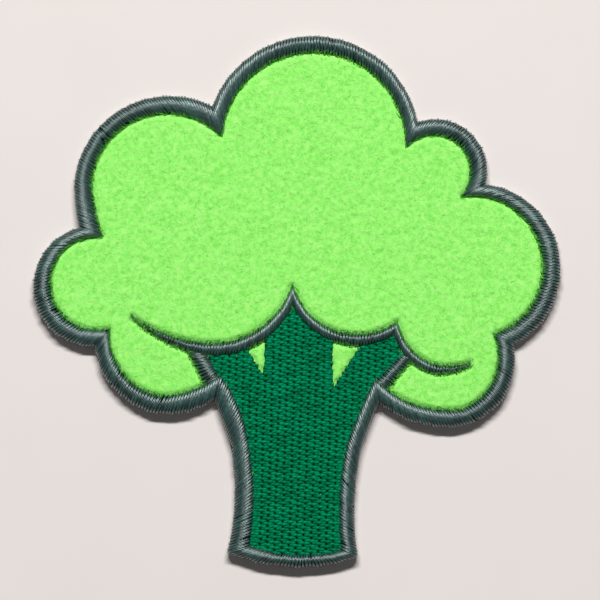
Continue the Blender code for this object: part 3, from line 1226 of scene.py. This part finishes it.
@dataclass
class Studio:
    """A plain pale floor, a long soft light behind the patch's top, and a camera straight above."""

    view_width: float = 87.9 * MM
    aim: tuple[float, float] = (0.45 * MM, 0.2 * MM)
    camera_height: float = 1.0
    floor_drop: float = 0.02 * MM
    light_distance: float = 1.4
    light_elevation: float = math.radians(53)
    light_power: float = 22.6
    sky: float = 0.09

    def build_floor(self, material: bpy.types.Material) -> bpy.types.Object:
        """Lay the floor under the patch."""
        shape = bmesh.new()
        bmesh.ops.create_grid(shape, x_segments=1, y_segments=1, size=3.0)
        bmesh.ops.translate(shape, verts=shape.verts, vec=(0.0, 0.0, -self.floor_drop))
        mesh = bpy.data.meshes.new("floor")
        shape.to_mesh(mesh)
        shape.free()
        mesh.materials.append(material)
        floor = bpy.data.objects.new("floor", mesh)
        bpy.context.scene.collection.objects.link(floor)
        return floor

    def build_camera(self) -> None:
        """Hang the camera over the patch, with its top towards +Y."""
        camera = bpy.data.cameras.new("camera")
        camera.lens = camera.sensor_width * self.camera_height / self.view_width
        camera.clip_start = 0.01
        eye = bpy.data.objects.new("camera", camera)
        eye.location = (*self.aim, self.camera_height)
        bpy.context.scene.collection.objects.link(eye)
        bpy.context.scene.camera = eye

    def build_lights(self) -> None:
        """Hang the long light and light the air."""
        lamp = bpy.data.lights.new("long_light", "AREA")
        lamp.shape = "RECTANGLE"
        lamp.size, lamp.size_y = 0.8, 0.1
        lamp.energy = self.light_power
        lamp.color = (1.0, 0.985, 0.97)
        light = bpy.data.objects.new("long_light", lamp)
        aim = Vector((0.0, math.cos(self.light_elevation), math.sin(self.light_elevation)))
        light.location = aim * self.light_distance
        light.rotation_euler = aim.to_track_quat("Z", "Y").to_euler()
        bpy.context.scene.collection.objects.link(light)
        world = bpy.data.worlds.new("air")
        world.use_nodes = True
        air = world.node_tree.nodes["Background"]
        air.inputs["Color"].default_value = (1.0, 0.98, 0.97, 1.0)
        air.inputs["Strength"].default_value = self.sky
        bpy.context.scene.world = world
        bpy.context.scene.view_settings.view_transform = "Standard"


# ---------------------------------------------------------------- the patch


def shade(red: int, green: int, blue: int) -> tuple[float, float, float]:
    """A colour from its eight-bit values on a display, as the shaders take it."""
    return tuple((value / 255) ** 2.2 for value in (red, green, blue))


EDGE_THREAD = ThreadFinish(
    "edge_thread", shade(4, 32, 42), shade(58, 104, 96), 0.38, 1.0, tint=(0.7, 1.0, 0.97), coat=1.0
)
# The padding's near-black colour is painted shade: it darkens the gaps between the satin passes where it shows
# through.
EDGE_PADDING_PAINTED_SHADE = ThreadFinish("edge_padding_painted_shade", shade(6, 24, 28), shade(12, 36, 38), 0.95, 0.05, ply_depth=0.0)
STEM_THREAD = ThreadFinish(
    "stem_thread", shade(0, 111, 69), shade(0, 137, 90), 0.5, 0.2, tint=(0.05, 0.9, 0.6)
)
# The underlay's dark green is painted shade for the deep needle holes of the fill.
STEM_SHADE = ThreadFinish("stem_underlay_painted_shade", shade(0, 50, 26), shade(0, 64, 36), 0.7, 0.1)
BOBBIN_THREAD = ThreadFinish("bobbin_thread", shade(206, 206, 200), shade(236, 236, 230), 0.6, 0.3)
# The felt's low colour is painted shade between its clumps and its high colour a painted highlight on them.
FELT = MattedFinish(
    "felt", shade(126, 230, 88), shade(152, 252, 112), shade(180, 255, 136), 5200.0, 1700.0, 0.04 * MM
)
FELT_NAP = ThreadFinish(
    "felt_nap", shade(136, 238, 98), shade(180, 255, 134), 0.9, 0.1, sheen=0.2, ply_depth=0.0
)
# The fringe's dark green end is painted shade along the satin columns; its light end is the felt's own colour.
FELT_FRINGE_PAINTED_SHADE = ThreadFinish(
    "felt_fringe_painted_shade", shade(28, 128, 52), shade(150, 250, 106), 0.9, 0.1, ply_depth=0.0
)
# The fleece's low colour is painted shade and its high colour a painted highlight, as on the felt.
FLEECE = MattedFinish(
    "stabiliser", shade(206, 208, 206), shade(228, 229, 226), shade(242, 242, 240), 3000.0, 900.0, 0.06 * MM
)
FLEECE_ENDS = ThreadFinish(
    "stabiliser_ends", shade(220, 222, 220), shade(245, 245, 242), 0.9, 0.1, ply_depth=0.0
)


@dataclass
class Patch:
    """The whole patch, built from its ground up."""

    groups: Groups = field(default_factory=Groups)
    columns: list[SatinColumn] = field(default_factory=list)

    def measure(self) -> None:
        """Read every satin column from the frame."""
        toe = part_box("stem_fill")[0][2]
        for number, node in enumerate(sorted(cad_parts)):
            if node.startswith("edge_"):
                self.columns.append(SatinColumn(node, ColumnKind.EDGE, toe, SEED + number))
            elif node.startswith("floret_line_"):
                self.columns.append(SatinColumn(node, ColumnKind.LINE, toe, SEED + number))
            elif node.startswith("branch_line_"):
                self.columns.append(SatinColumn(node, ColumnKind.BRANCH, toe, SEED + number))

    def held_points(self, fill: StemFill) -> kdtree.KDTree:
        """A tree of the places where stitching holds the felt down.

        Args:
            fill: the stem's fill.

        Returns:
            The tree.
        """
        spots = [column.ground() for column in self.columns]
        low, high = (np.array(corner[:2]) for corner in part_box(fill.node))
        gap = 0.45 * MM
        across, along = np.meshgrid(np.arange(low[0], high[0], gap), np.arange(low[1], high[1], gap))
        grid = np.stack([across.ravel(), along.ravel()], axis=1)
        spots.append(grid[inside(grid, fill.outline)])
        points = np.concatenate(spots)
        tree = kdtree.KDTree(len(points))
        for i, (x, y) in enumerate(points):
            tree.insert((x, y, 0.0), i)
        tree.balance()
        return tree

    def build(self) -> None:
        """Build every piece."""
        self.measure()
        edge = EDGE_THREAD.build(self.groups)
        padding = EDGE_PADDING_PAINTED_SHADE.build(self.groups)
        stem = STEM_THREAD.build(self.groups)
        bobbin = BOBBIN_THREAD.build(self.groups)
        fleece = FLEECE.build(self.groups)
        fill = StemFill(columns=self.columns)
        held = self.held_points(fill)
        base = Stabiliser("backing_stabiliser", 0.6 * MM, 0.0, 0.0, held, fill.outline)
        backing = base.build(fleece)
        base.size()
        base.area()
        base.build_fray([c for c in self.columns if c.kind is ColumnKind.EDGE], FLEECE_ENDS.build(self.groups))
        felt = Felt("felt_ground", 0.3 * MM, 0.48 * MM, 0.12 * MM, held, fill.outline)
        sheet, nap = felt.build(FELT.build(self.groups), FELT_NAP.build(self.groups))
        loose = [nap, felt.build_fringe(self.columns, FELT_FRINGE_PAINTED_SHADE.build(self.groups))]
        felt.size()
        felt.area()
        fill.build_underlay(STEM_SHADE.build(self.groups))
        fill.build_face(stem)
        fill.build_underside(stem, bobbin)
        for column in self.columns:
            # The padding is coloured near-black as painted shade in the gaps between the passes.
            self.dress(column.node, padding)
            column.build_passes(edge)
            column.build_underside(edge, bobbin)
        self.dress("heat_seal_film", FilmFinish().build(self.groups))

    def dress(self, node: str, material: bpy.types.Material) -> None:
        """Give a CAD node that stays in view its finish."""
        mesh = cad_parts[node].data
        mesh.materials.clear()
        mesh.materials.append(material)


def main() -> None:
    """Build the patch and the studio."""
    logging.basicConfig(level=logging.INFO, format="%(message)s")
    studio = Studio()
    studio.build_camera()
    studio.build_lights()
    Patch().build()
    studio.build_floor(FloorFinish().build())


if __name__ == "__main__":
    main()
